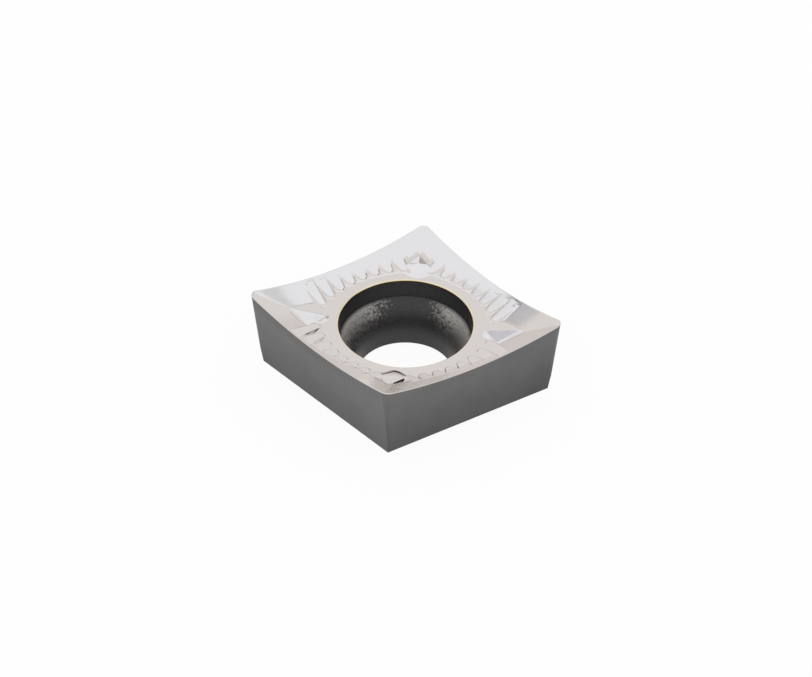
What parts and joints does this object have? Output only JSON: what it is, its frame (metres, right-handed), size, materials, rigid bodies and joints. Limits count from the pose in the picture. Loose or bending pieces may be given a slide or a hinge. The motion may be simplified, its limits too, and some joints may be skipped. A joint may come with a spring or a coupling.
{
  "type": "turning insert",
  "caption": "Rhombic positive cemented-carbide turning insert for aluminium, with sagging ground cutting edges, a polished toothed chip-breaker and a central screw hole.",
  "frame": {"origin": "centre of the seat face, on the axis of the screw hole", "axes": "+Z out of the seat towards the chip-breaker, +X along the long diagonal to an acute cutting corner, +Y along the short diagonal to an obtuse corner"},
  "size_m": [0.0144, 0.0122, 0.004],
  "materials": {
    "cemented_carbide": "polished chip-breaker, fine-ground flanks, sintered hole"
  },
  "bodies": {
    "root": {"insert": "cemented_carbide"}
  },
  "joints": []
}
